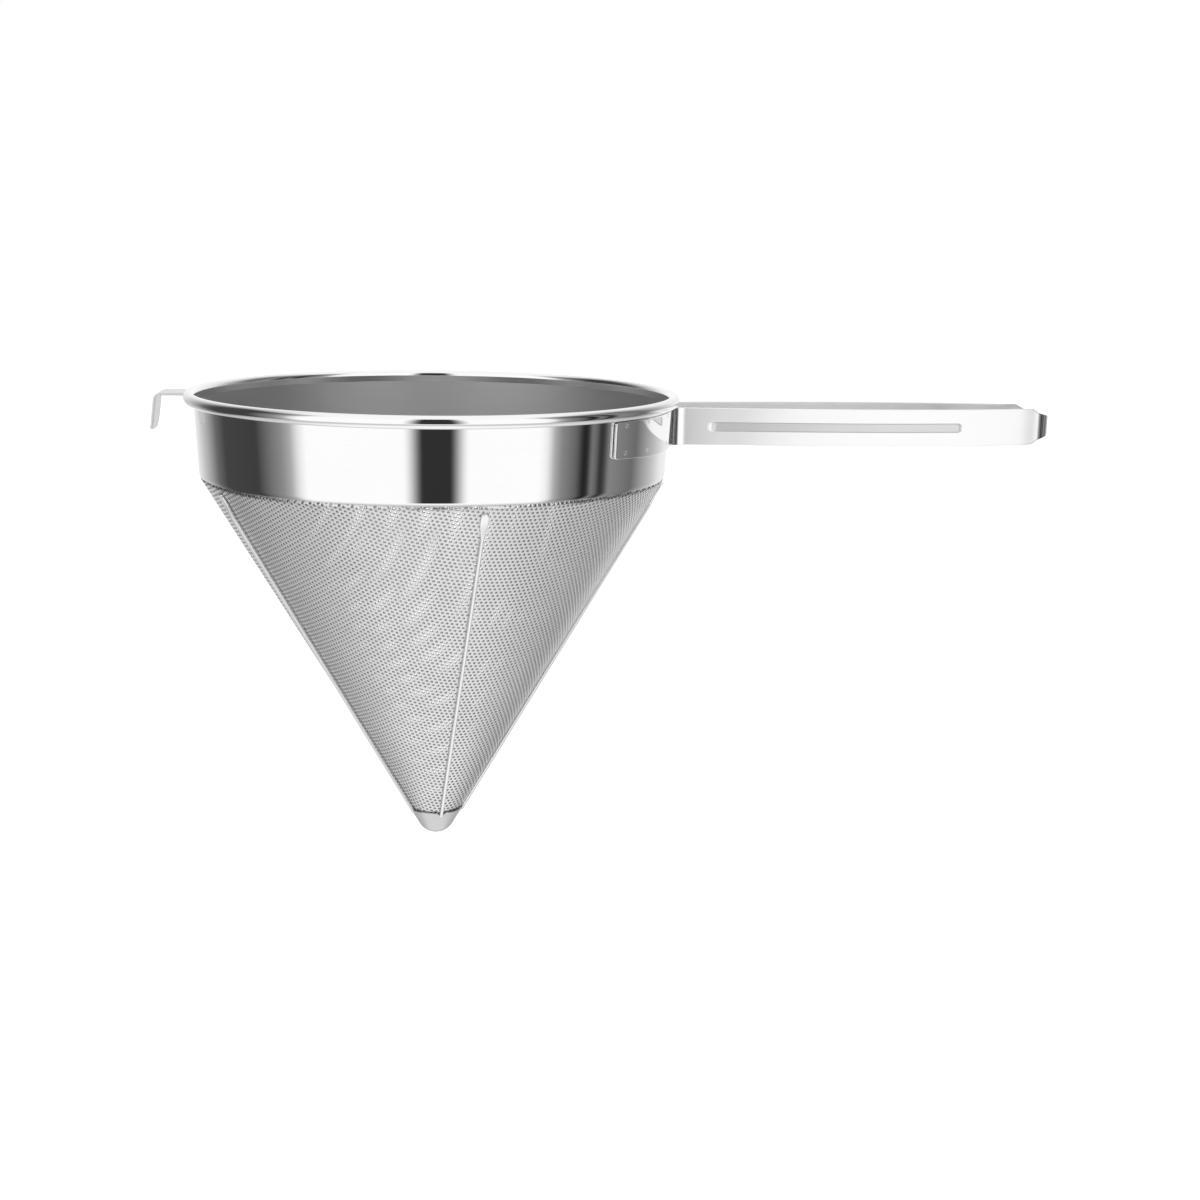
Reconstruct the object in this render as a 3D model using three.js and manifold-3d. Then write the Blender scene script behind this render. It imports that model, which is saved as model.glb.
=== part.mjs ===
import * as THREE from "three";
import * as BufferGeometryUtils from "three/addons/utils/BufferGeometryUtils.js";
import Module from "manifold-3d";

// Conical strainer in polished stainless steel, in millimetres, +Z up.
// The sizes below are given from the centre of the rim, with the bowl's axis along Z
// and the long handle along +X. The whole is then moved so that the origin is
// the middle of the hook's flat underside, where it lies on the edge of a pot.

const wasm = await Module();
wasm.setup();

// Rolled rim and band, the wall's face set in from the rim's outermost edge
const rimDiameter = 254;
const beadDiameter = 6.15;
const bandThickness = 0.9;
const bandInset = 5.15;
const bandTaper = 2.57;
const bandBottomZ = -36.8;
const lipBendRadius = 9.54;
const lipEndAngle = 15.8;

// Perforated cone, its rows of gaps at shares of the way down its slope
const coneHalfAngle = 30.2;
const sheetThickness = 0.8;
const coneBottomRadius = 9.15;
const collarTopZ = -30;
const seamGap = 0.3;
const collarJoinAngle = 19;
const collarBlendAngle = 26;
const holeWidth = 10;
const holeCutLength = 6;
const holeRows = [
  { share: 0.092, count: 25 },
  { share: 0.247, count: 20 },
  { share: 0.398, count: 15 },
  { share: 0.545, count: 15 },
  { share: 0.687, count: 10 },
  { share: 0.819, count: 5 },
];

// Ribs, each with its foot in a notch of the tip cap
const ribDiameter = 2.0;
const ribFirstAngle = -79.5;
const ribNames = ["rib_front", "rib_right", "rib_back_right", "rib_back_left", "rib_left"];
const ribSpacing = 360 / ribNames.length;
const ribStart = 1.6;
const ribIntoNotch = 1.8;
const bladeWidth = 4.1;
const bladeThickness = 1.2;
const bladeWideLength = 4.5;
const bladeTaperLength = 11;
const bladeCornerRadius = 1.6;

// Tip cap, and how far up the cone it laps
const capThickness = 0.8;
const capNoseRadius = 10.62;
const capLap = 8.88;
const notchWidth = 2.6;
const notchDepth = 2.2;

// Handle, one strip bent into a hairpin. The lengths out along it are from the rim's edge.
const handleThickness = 1.6;
const handleTopZ = -3.7;
const handleHeight = 19.25;
const flangeEndAngle = 46.7;
const flangeTurnAngle = 10.6;
const flangeFilletRadius = 6.8;
const flangeTaperStart = 7.7;
const flangeTaperFull = 13;
const plateStartSlope = 4;
const endBendOut = 189.3;
const endBendRadius = 11.5;
const endBendStart = 16;
const chamferBeforeBend = 0.3;
const chamferLength = 4.3;
const chamferDepth = 2.6;
const endNarrowing = 4.6;
const grooveStartOut = 15.3;
const grooveEndOut = 148.3;
const grooveHeight = 4.5;
const grooveDepth = 0.7;
const plateShape = [
  { out: 23, side: 18.5 },
  { out: 63, side: 21.2 },
  { out: 103, side: 22.2 },
  { out: 143, side: 20.3 },
  { out: 163, side: 17.8 },
  { out: 180, side: 14.5 },
];

// Hook, its flat measured outwards from the rim's edge
const hookWidth = 23;
const hookThickness = 1.4;
const hookTopZ = 1.7;
const hookFlatOut = 10.6;
const hookBendRadius = 2.3;
const hookTabBottomZ = -17;
const hookTabLean = 1.9;
const hookCornerNear = 2.5;
const hookCornerFar = 8;
const hookRestOut = 5.4;

// Roundness of the turned pieces
const turnSegments = 54;
const capSegments = 32;
const arcStep = 18;
const flangeSteps = 9;
const filletSteps = 6;
const plateSteps = 22;
const endBendSteps = 5;

const rad = THREE.MathUtils.degToRad;
const sinCone = Math.sin(rad(coneHalfAngle));
const cosCone = Math.cos(rad(coneHalfAngle));
const rimRadius = rimDiameter / 2;
const beadRadius = beadDiameter / 2;
const bandTopRadius = rimRadius - bandInset;
const endBendX = rimRadius + endBendOut;

// A closed mesh becomes a solid that can be cut and joined
function solid(geometry) {
  const bare = geometry.clone();
  bare.deleteAttribute("normal");
  bare.deleteAttribute("uv");
  const merged = BufferGeometryUtils.mergeVertices(bare, 1e-4);
  const mesh = new wasm.Mesh({
    numProp: 3,
    vertProperties: new Float32Array(merged.attributes.position.array),
    triVerts: new Uint32Array(merged.index.array),
  });
  return new wasm.Manifold(mesh);
}

function geometryOf(manifold) {
  const mesh = manifold.getMesh();
  const geometry = new THREE.BufferGeometry();
  const position = new Float32Array(mesh.vertProperties);
  geometry.setAttribute("position", new THREE.BufferAttribute(position, 3));
  geometry.setIndex(new THREE.BufferAttribute(new Uint32Array(mesh.triVerts), 1));
  geometry.computeVertexNormals();
  return geometry;
}

// A profile of [radius, height] points turned about the Z axis
function turned(profile, segments) {
  const points = profile.map(([r, z]) => new THREE.Vector2(r, z));
  const geometry = new THREE.LatheGeometry(points, segments);
  geometry.rotateX(Math.PI / 2);
  return geometry;
}

// Points of an arc in a [radius, height] profile, angles in degrees below the level
function arcPoints(centre, radius, from, to) {
  const steps = Math.max(2, Math.ceil(Math.abs(to - from) / arcStep));
  const points = [];
  for (let i = 0; i <= steps; i += 1) {
    const angle = rad(from + ((to - from) * i) / steps);
    points.push([centre[0] + radius * Math.cos(angle), centre[1] - radius * Math.sin(angle)]);
  }
  return points;
}

function steel(color, roughness) {
  return new THREE.MeshStandardMaterial({ color, roughness, metalness: 1 });
}

// Outer line of the band, and the bend that turns it into the cone
const taperSlope = Math.tan(rad(bandTaper));
const bandStart = [bandTopRadius, -beadRadius];
const bandFoot = [bandTopRadius + (bandBottomZ + beadRadius) * taperSlope, bandBottomZ];
const bendCentre = [
  bandFoot[0] - lipBendRadius * Math.cos(rad(bandTaper)),
  bandFoot[1] + lipBendRadius * Math.sin(rad(bandTaper)),
];
const coneTop = [
  bendCentre[0] + lipBendRadius * cosCone,
  bendCentre[1] - lipBendRadius * sinCone,
];
const coneLength = (coneTop[0] - coneBottomRadius) / sinCone;
const capTopAlong = coneLength - capLap;

// Point on the cone's outer face, at a distance along its slope, lifted off it by some height
function onCone(along, lift) {
  return [
    coneTop[0] - along * sinCone + lift * cosCone,
    coneTop[1] - along * cosCone - lift * sinCone,
  ];
}

// Rolled rim and band: one piece, the wall bent inwards at its foot
function makeBand() {
  const beadCentre = [rimRadius - beadRadius, 0];
  const wallAngle = Math.acos((bandTopRadius - beadCentre[0]) / beadRadius);
  const bead = arcPoints(beadCentre, beadRadius, -180, THREE.MathUtils.radToDeg(wallAngle));
  const wall = bandThickness / Math.cos(rad(bandTaper));
  const outerBend = arcPoints(bendCentre, lipBendRadius, bandTaper, lipEndAngle);
  const innerBend = arcPoints(bendCentre, lipBendRadius - bandThickness, lipEndAngle, bandTaper);
  const profile = [
    ...bead,
    bandStart,
    ...outerBend,
    ...innerBend,
    [bandStart[0] - wall, -beadRadius],
  ];
  profile.push(profile[0]);
  return turned(profile.reverse(), turnSegments);
}

// Perforated cone: a collar inside the band, a flush shoulder and the straight sheet
function makeCone() {
  const collarOuter = lipBendRadius - bandThickness - seamGap;
  const collarInner = collarOuter - sheetThickness;
  const visibleInner = lipBendRadius - sheetThickness;
  const gapAngle = THREE.MathUtils.radToDeg(seamGap / lipBendRadius);
  const shoulder = lipEndAngle + gapAngle;
  const outer = arcPoints(bendCentre, collarOuter, bandTaper, shoulder);
  const inner = arcPoints(bendCentre, collarInner, collarJoinAngle, bandTaper);
  const collarRise = (collarTopZ - outer[0][1]) * taperSlope;
  const profile = [
    [outer[0][0] + collarRise, collarTopZ],
    ...outer,
    ...arcPoints(bendCentre, lipBendRadius, shoulder, coneHalfAngle),
    onCone(coneLength, 0),
    onCone(coneLength, -sheetThickness),
    ...arcPoints(bendCentre, visibleInner, coneHalfAngle, collarBlendAngle),
    ...inner,
    [inner[inner.length - 1][0] + collarRise, collarTopZ],
  ];
  profile.push(profile[0]);
  let cone = solid(turned(profile.reverse(), turnSegments));
  for (const row of holeRows) {
    const [r, z] = onCone(row.share * coneLength, 0);
    for (let i = 0; i < row.count; i += 1) {
      const angle = ribFirstAngle + (360 / row.count) * (i + 0.5);
      const hole = new THREE.CylinderGeometry(holeWidth / 2, holeWidth / 2, holeCutLength, 6);
      hole.rotateZ(Math.PI / 2);
      hole.rotateY(rad(coneHalfAngle));
      hole.translate(r, 0, z);
      hole.rotateZ(rad(angle));
      cone = cone.subtract(solid(hole));
    }
  }
  return geometryOf(cone);
}

// Rib: a straight wire on the cone, its top hammered into a flat blade
function makeRib(angle) {
  const half = bladeWidth / 2;
  const wideEnd = ribStart + bladeWideLength;
  const neck = wideEnd + bladeTaperLength;
  const wireHalf = ribDiameter / 2;
  const blade = new THREE.Shape();
  blade.moveTo(ribStart + bladeCornerRadius, -half);
  blade.lineTo(wideEnd, -half);
  blade.lineTo(neck, -wireHalf);
  blade.lineTo(neck, wireHalf);
  blade.lineTo(wideEnd, half);
  blade.lineTo(ribStart + bladeCornerRadius, half);
  blade.quadraticCurveTo(ribStart, half, ribStart, half - bladeCornerRadius);
  blade.lineTo(ribStart, -half + bladeCornerRadius);
  blade.quadraticCurveTo(ribStart, -half, ribStart + bladeCornerRadius, -half);
  const flat = new THREE.ExtrudeGeometry(blade, {
    depth: bladeThickness,
    bevelEnabled: false,
    curveSegments: 4,
  });
  flat.translate(0, 0, seamGap);
  const wireLength = capTopAlong + ribIntoNotch - wideEnd;
  const wire = new THREE.CylinderGeometry(wireHalf, wireHalf, wireLength, 12);
  wire.rotateZ(Math.PI / 2);
  wire.translate(wideEnd + wireLength / 2, 0, seamGap + wireHalf);
  const geometry = geometryOf(solid(flat).add(solid(wire)));
  geometry.applyMatrix4(coneFrame(angle));
  return geometry;
}

// Frame on the cone: X down the slope, Z out of the sheet, at an angle about the axis
function coneFrame(angle) {
  const down = new THREE.Vector3(-sinCone, 0, -cosCone);
  const out = new THREE.Vector3(cosCone, 0, -sinCone);
  const across = new THREE.Vector3().crossVectors(out, down);
  const frame = new THREE.Matrix4().makeBasis(down, across, out);
  frame.setPosition(coneTop[0], 0, coneTop[1]);
  return new THREE.Matrix4().makeRotationZ(rad(angle)).multiply(frame);
}

// Tip cap: a pressed cup over the cone's end, with a notch for each rib
function makeCap() {
  const apexZ = coneTop[1] - (coneTop[0] * cosCone) / sinCone;
  const noseZ = apexZ + (capNoseRadius - capThickness - seamGap) / sinCone;
  const outer = arcPoints([0, noseZ], capNoseRadius, coneHalfAngle, 90);
  const inner = arcPoints([0, noseZ], capNoseRadius - capThickness, 90, coneHalfAngle);
  const profile = [
    onCone(capTopAlong, seamGap + capThickness),
    ...outer,
    ...inner,
    onCone(capTopAlong, seamGap),
  ];
  profile.push(profile[0]);
  let cap = solid(turned(profile.reverse(), capSegments));
  for (let i = 0; i < ribNames.length; i += 1) {
    const notch = new THREE.BoxGeometry(2 * notchDepth, notchWidth, 8 * capThickness);
    notch.translate(capTopAlong, 0, 0);
    notch.applyMatrix4(coneFrame(ribFirstAngle + ribSpacing * i));
    cap = cap.subtract(solid(notch));
  }
  return geometryOf(cap);
}

// Middle line of the handle's strip in plan, from the near flange to the end bend
function handleHalfLine() {
  const points = [];
  const flangeRadius = bandTopRadius + seamGap + handleThickness / 2;
  for (let i = 0; i <= flangeSteps; i += 1) {
    const angle = rad(-flangeEndAngle + ((flangeEndAngle - flangeTurnAngle) * i) / flangeSteps);
    points.push([flangeRadius * Math.cos(angle), flangeRadius * Math.sin(angle)]);
  }
  const reach = flangeRadius + flangeFilletRadius;
  const turn = rad(flangeTurnAngle);
  const fillet = [reach * Math.cos(turn), -reach * Math.sin(turn)];
  const filletFrom = 180 - flangeTurnAngle;
  const filletTo = 90 - plateStartSlope;
  for (let i = 1; i <= filletSteps; i += 1) {
    const angle = rad(filletFrom + ((filletTo - filletFrom) * i) / filletSteps);
    points.push([
      fillet[0] + flangeFilletRadius * Math.cos(angle),
      fillet[1] + flangeFilletRadius * Math.sin(angle),
    ]);
  }
  const bendFrom = rad(endBendStart - 90);
  const bendStart = [
    endBendX + endBendRadius * Math.cos(bendFrom),
    endBendRadius * Math.sin(bendFrom),
  ];
  const last = points[points.length - 1];
  const side = plateShape.map((point) => [rimRadius + point.out, -point.side]);
  const through = [last, ...side, bendStart];
  const spline = new THREE.SplineCurve(through.map(([x, y]) => new THREE.Vector2(x, y)));
  for (const p of spline.getSpacedPoints(plateSteps).slice(1)) points.push([p.x, p.y]);
  for (let i = 1; i <= endBendSteps; i += 1) {
    const angle = bendFrom * (1 - i / endBendSteps);
    points.push([
      endBendX + endBendRadius * Math.cos(angle),
      endBendRadius * Math.sin(angle),
    ]);
  }
  return points;
}

// The line moved sideways by a distance, positive to the outer side of the hairpin
function beside(line, distance) {
  return line.map((point, i) => {
    const before = line[Math.max(0, i - 1)];
    const after = line[Math.min(line.length - 1, i + 1)];
    const along = new THREE.Vector2(after[0] - before[0], after[1] - before[1]).normalize();
    return [point[0] + along.y * distance, point[1] - along.x * distance];
  });
}

function prism(outline, fromZ, toZ) {
  const shape = new THREE.Shape(outline.map(([x, y]) => new THREE.Vector2(x, y)));
  const geometry = new THREE.ExtrudeGeometry(shape, { depth: toZ - fromZ, bevelEnabled: false });
  geometry.translate(0, 0, fromZ);
  return geometry;
}

// A shape drawn in the XZ plane, cut right across the handle
function across(outline, reach) {
  const geometry = prism(outline, -reach, reach);
  geometry.rotateX(Math.PI / 2);
  return geometry;
}

function makeHandle() {
  const half = handleHalfLine();
  const mirrored = half.slice(0, -1).reverse().map(([x, y]) => [x, -y]);
  const line = [...half, ...mirrored];
  const outline = (out, inn) => [...beside(line, out), ...beside(line, inn).reverse()];
  const bottomZ = handleTopZ - handleHeight;
  const middleZ = handleTopZ - handleHeight / 2;
  const side = handleThickness / 2;
  let strip = solid(prism(outline(side, -side), bottomZ, handleTopZ));

  // Rounded slot, seen from the side, that both grooves follow
  const grooveHalf = grooveHeight / 2;
  const slot = new THREE.Shape();
  slot.absarc(rimRadius + grooveStartOut + grooveHalf, middleZ, grooveHalf, Math.PI / 2, -Math.PI / 2);
  slot.absarc(rimRadius + grooveEndOut - grooveHalf, middleZ, grooveHalf, -Math.PI / 2, Math.PI / 2);
  const slotBlock = new THREE.ExtrudeGeometry(slot, {
    depth: 2 * rimRadius,
    bevelEnabled: false,
    curveSegments: 8,
  });
  slotBlock.translate(0, 0, -rimRadius);
  slotBlock.rotateX(Math.PI / 2);
  const slotSolid = solid(slotBlock);
  const outside = side + handleThickness;
  const recess = solid(prism(outline(outside, side - grooveDepth), bottomZ, handleTopZ));
  const swell = solid(prism(outline(grooveDepth / 2 - side, -side - grooveDepth), bottomZ, handleTopZ));
  strip = strip.add(swell.intersect(slotSolid)).subtract(recess.intersect(slotSolid));

  // The strip is narrower where it bends back at the end
  const farX = endBendX + 2 * endBendRadius;
  const chamferX = endBendX - chamferBeforeBend;
  const chamferEnd = chamferX + chamferLength;
  for (const [edge, away] of [[handleTopZ, -1], [bottomZ, 1]]) {
    const corner = across(
      [
        [chamferX, edge],
        [chamferEnd, edge + away * chamferDepth],
        [farX, edge + away * endNarrowing],
        [farX, edge - away * chamferDepth],
        [chamferX, edge - away * chamferDepth],
      ],
      rimRadius,
    );
    strip = strip.subtract(solid(corner));
  }

  // The flanges lean with the band's taper, the side plates stand upright
  const geometry = geometryOf(strip);
  const position = geometry.attributes.position;
  for (let i = 0; i < position.count; i += 1) {
    const x = position.getX(i);
    const y = position.getY(i);
    const angle = THREE.MathUtils.radToDeg(Math.atan2(Math.abs(y), x));
    const share = (angle - flangeTaperStart) / (flangeTaperFull - flangeTaperStart);
    const weight = THREE.MathUtils.clamp(share, 0, 1);
    const shift = taperSlope * weight * (handleTopZ - position.getZ(i));
    const scale = 1 - shift / Math.hypot(x, y);
    position.setXY(i, x * scale, y * scale);
  }
  geometry.computeVertexNormals();
  return geometry;
}

// Hook: a bent strip whose end meets the bead and whose tab hangs down outside
function makeHook() {
  const top = hookTopZ;
  const under = hookTopZ - hookThickness;
  const outerBend = hookBendRadius + hookThickness;
  const centreZ = under - hookBendRadius;
  const startX = rimRadius - beadRadius;
  const hookFlatEnd = rimRadius + hookFlatOut;
  const profile = new THREE.Shape();
  profile.moveTo(startX, under);
  profile.lineTo(hookFlatEnd, under);
  profile.absarc(hookFlatEnd, centreZ, hookBendRadius, Math.PI / 2, 0, true);
  profile.lineTo(hookFlatEnd + hookBendRadius + hookTabLean, hookTabBottomZ);
  profile.lineTo(hookFlatEnd + outerBend + hookTabLean, hookTabBottomZ);
  profile.lineTo(hookFlatEnd + outerBend, centreZ);
  profile.absarc(hookFlatEnd, centreZ, outerBend, 0, Math.PI / 2, false);
  profile.lineTo(startX, top);
  const strip = new THREE.ExtrudeGeometry(profile, {
    depth: hookWidth,
    bevelEnabled: false,
    curveSegments: 6,
  });
  strip.translate(0, 0, -hookWidth / 2);
  strip.rotateX(Math.PI / 2);

  // Outline of the tab from outside, with one large and one small round corner
  const side = hookWidth / 2;
  const farCentre = [hookCornerFar - side, hookTabBottomZ + hookCornerFar];
  const nearCentre = [side - hookCornerNear, hookTabBottomZ + hookCornerNear];
  const tab = new THREE.Shape();
  tab.moveTo(-side, 2 * hookTopZ);
  tab.lineTo(-side, farCentre[1]);
  tab.absarc(farCentre[0], farCentre[1], hookCornerFar, Math.PI, 1.5 * Math.PI);
  tab.absarc(nearCentre[0], nearCentre[1], hookCornerNear, 1.5 * Math.PI, 2 * Math.PI);
  tab.lineTo(side, 2 * hookTopZ);
  const tabBlock = new THREE.ExtrudeGeometry(tab, {
    depth: hookWidth * 2,
    bevelEnabled: false,
    curveSegments: 6,
  });
  tabBlock.rotateX(Math.PI / 2);
  tabBlock.rotateZ(Math.PI / 2);
  tabBlock.translate(startX - hookWidth / 2, 0, 0);

  // The inner end is hollowed to follow the bead
  const clear = rimRadius + seamGap;
  const rimSpace = new THREE.CylinderGeometry(clear, clear, 4 * beadRadius, 2 * turnSegments);
  rimSpace.rotateX(Math.PI / 2);
  const hook = solid(strip).intersect(solid(tabBlock)).subtract(solid(rimSpace));
  const geometry = geometryOf(hook);
  geometry.rotateZ(Math.PI);
  return geometry;
}

const strainer = new THREE.Group();
const rimCentre = new THREE.Group();
rimCentre.position.set(rimRadius + hookRestOut, 0, hookThickness - hookTopZ);
strainer.add(rimCentre);

function place(name, geometry, material) {
  const mesh = new THREE.Mesh(geometry, material);
  mesh.name = name;
  rimCentre.add(mesh);
}

place("rim_band", makeBand(), steel(0xc9c9c9, 0.12));
place("perforated_cone", makeCone(), steel(0xb9b9b9, 0.32));
ribNames.forEach((name, i) => {
  place(name, makeRib(ribFirstAngle + ribSpacing * i), steel(0xcfcfcf, 0.2));
});
place("tip_cap", makeCap(), steel(0xbdbdbd, 0.28));
place("handle", makeHandle(), steel(0xd2d2d2, 0.24));
place("pot_hook", makeHook(), steel(0xd0d0d0, 0.26));

export default strainer;
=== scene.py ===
"""Conical strainer in stainless steel: rolled rim and band, perforated cone with five wire
ribs and a tip cap, a flat handle bent into a hairpin, and a pot hook. Blender 4.5, metres."""
import math

import bmesh
import bpy
import numpy as np
from mathutils import Matrix, Vector


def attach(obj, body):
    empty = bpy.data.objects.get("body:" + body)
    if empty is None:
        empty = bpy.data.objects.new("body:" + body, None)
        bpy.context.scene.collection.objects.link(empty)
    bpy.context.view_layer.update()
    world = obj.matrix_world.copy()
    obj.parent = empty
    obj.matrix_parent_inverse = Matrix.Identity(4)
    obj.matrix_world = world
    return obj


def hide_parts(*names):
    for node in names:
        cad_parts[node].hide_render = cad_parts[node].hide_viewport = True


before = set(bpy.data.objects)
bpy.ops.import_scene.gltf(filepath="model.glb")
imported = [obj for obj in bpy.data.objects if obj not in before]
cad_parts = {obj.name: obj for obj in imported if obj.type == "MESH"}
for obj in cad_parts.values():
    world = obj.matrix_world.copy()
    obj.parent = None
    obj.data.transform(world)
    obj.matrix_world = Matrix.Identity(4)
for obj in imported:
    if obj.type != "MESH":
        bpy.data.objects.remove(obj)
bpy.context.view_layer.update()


# Rim band: the steel wall of the bowl, its top edge rolled outwards into a bead and its foot
# bent inwards over the top of the cone. Spun from one sheet and polished to a mirror.
# Lengths are in millimetres from the middle of the rim.
MILLIMETRE = 0.001
BOWL_AXIS = (132.4, 0.0, -0.3)
BEAD_CENTRE_RADIUS = 123.925
BEAD_RADIUS = 3.075
BEAD_OPENING = math.radians(131.0)
CURL_THICKNESS, CURL_TURN = 0.55, 0.16
CURL_GAP_OUT, CURL_GAP_UP = 0.02, 0.1
BAND_THICKNESS = 0.9
BAND_TOP_RADIUS = 121.85
BAND_TAPER = math.radians(2.57)
BAND_FOOT_Z = -36.8
LIP_RADIUS = 9.54
LIP_END = math.radians(15.8)
LIP_EDGE_TURN, LIP_EDGE_INSET = 0.012, 0.16
BAND_TURN_STEPS = 360
SHARP_FROM = math.radians(35.0)

band_foot_radius = BAND_TOP_RADIUS + (BAND_FOOT_Z + BEAD_RADIUS) * math.tan(BAND_TAPER)
bend_centre = (
    band_foot_radius - LIP_RADIUS * math.cos(BAND_TAPER),
    BAND_FOOT_Z + LIP_RADIUS * math.sin(BAND_TAPER),
)


def arc(centre, radius, start, end, steps):
    """Points of an arc in a (radius, height) profile, its angles measured below the level."""
    angles = np.linspace(start, end, steps + 1)
    return [(centre[0] + radius * math.cos(a), centre[1] - radius * math.sin(a)) for a in angles]


def as_piece(name, vertices, faces, slot):
    """Mesh object from points in millimetres, shaded smooth except at its sharp edges."""
    mesh = bpy.data.meshes.new(name)
    place = (np.asarray(vertices, dtype=float) + np.array(BOWL_AXIS)) * MILLIMETRE
    mesh.from_pydata(place.tolist(), [], [list(map(int, face)) for face in faces])
    mesh.validate()
    piece = bpy.data.objects.new(name, mesh)
    bpy.context.collection.objects.link(piece)
    finish_edges(mesh)
    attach(piece, "root")
    return piece


def finish_edges(mesh):
    """Merge doubles, turn the faces outwards and mark the edges that stay sharp."""
    bm = bmesh.new()
    bm.from_mesh(mesh)
    bmesh.ops.remove_doubles(bm, verts=bm.verts, dist=1e-7)
    bmesh.ops.recalc_face_normals(bm, faces=bm.faces)
    for face in bm.faces:
        face.smooth = True
    for edge in bm.edges:
        edge.smooth = len(edge.link_faces) == 2 and edge.calc_face_angle(0.0) < SHARP_FROM
    bm.to_mesh(mesh)
    bm.free()


def turned(profile, steps):
    """A closed (radius, height) profile turned about the bowl's axis."""
    vertices, faces, count = [], [], len(profile)
    for i in range(steps):
        angle = 2 * math.pi * i / steps
        vertices += [(r * math.cos(angle), r * math.sin(angle), z) for r, z in profile]
        for k in range(count):
            here, there = i * count, (i + 1) % steps * count
            after = (k + 1) % count
            faces.append((here + k, there + k, there + after, here + after))
    return vertices, faces


bead_centre = (BEAD_CENTRE_RADIUS, 0)
curl_start, curl_stop = BEAD_OPENING, BEAD_OPENING - CURL_TURN
curl_inside = arc(bead_centre, BEAD_RADIUS - CURL_THICKNESS, curl_start, curl_stop, 2)
band_profile = (
    arc(bead_centre, BEAD_RADIUS, -math.pi, BEAD_OPENING, 56)
    + curl_inside
    + [(BAND_TOP_RADIUS + CURL_GAP_OUT, curl_inside[-1][1] + CURL_GAP_UP)]
    + [(BAND_TOP_RADIUS, -BEAD_RADIUS)]
    + arc(bend_centre, LIP_RADIUS, BAND_TAPER, LIP_END - LIP_EDGE_TURN, 8)
    + arc(bend_centre, LIP_RADIUS - LIP_EDGE_INSET, LIP_END, LIP_END, 0)
    + arc(bend_centre, LIP_RADIUS - BAND_THICKNESS, LIP_END, BAND_TAPER, 6)
    + [(BAND_TOP_RADIUS - BAND_THICKNESS - CURL_GAP_OUT, -BEAD_RADIUS)]
)
rim_band = as_piece("rim_band_rolled", *turned(band_profile, BAND_TURN_STEPS), "polished_steel")
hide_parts("rim_band")


def new_material(name, metallic=1.0):
    """An empty material with a Principled shader; returns its nodes, links and the shader."""
    material = bpy.data.materials.new(name)
    material.use_nodes = True
    nodes, links = material.node_tree.nodes, material.node_tree.links
    shader = nodes["Principled BSDF"]
    shader.inputs["Metallic"].default_value = metallic
    return material, nodes, links, shader


def sockets(group, way, **names):
    """Inputs or outputs of a node group, by kind; returns the identifier of each name."""
    ids = {}
    for kind, listed in names.items():
        for name in listed:
            made = group.interface.new_socket(name, in_out=way, socket_type="NodeSocket" + kind)
            ids[name] = made.identifier
    return ids


def link_or_set(tree, place, value):
    """Give a socket a plain number, or a link from another node's output."""
    if isinstance(value, (int, float)):
        place.default_value = value
    else:
        tree.links.new(value, place)


def math_node(tree, operation, *inputs):
    """Math node fed with numbers or other nodes' outputs; returns its output."""
    node = tree.nodes.new("ShaderNodeMath")
    node.operation = operation
    for place, value in zip(node.inputs, inputs):
        link_or_set(tree, place, value)
    return node.outputs[0]


def smooth_ramp(tree, value, start, end, low=0.0, high=1.0):
    """Level that eases from low to high while the value goes from start to end."""
    node = tree.nodes.new("ShaderNodeMapRange")
    node.interpolation_type = "SMOOTHSTEP"
    tree.links.new(value, node.inputs["Value"])
    ends = {"From Min": start, "From Max": end, "To Min": low, "To Max": high}
    for place, number in ends.items():
        node.inputs[place].default_value = number
    return node.outputs["Result"]


def object_xyz(tree):
    """X, Y and Z of the object's own coordinates, as outputs."""
    place, parts = tree.nodes.new("ShaderNodeTexCoord"), tree.nodes.new("ShaderNodeSeparateXYZ")
    tree.links.new(place.outputs["Object"], parts.inputs["Vector"])
    return parts.outputs


def grey(level):
    return (level, level, level, 1)


GRAIN_SHARE, SMUDGE_SHARE = 0.45, 0.55
SMUDGE_SCALE, SMUDGE_DETAIL, SMUDGE_ROUGHNESS = 38.0, 4.0, 0.6
GRAIN_DETAIL = 3.0
ROUGHNESS_FROM, ROUGHNESS_TO = 0.3, 0.7
DENT_HEIGHT = 0.00002


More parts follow.
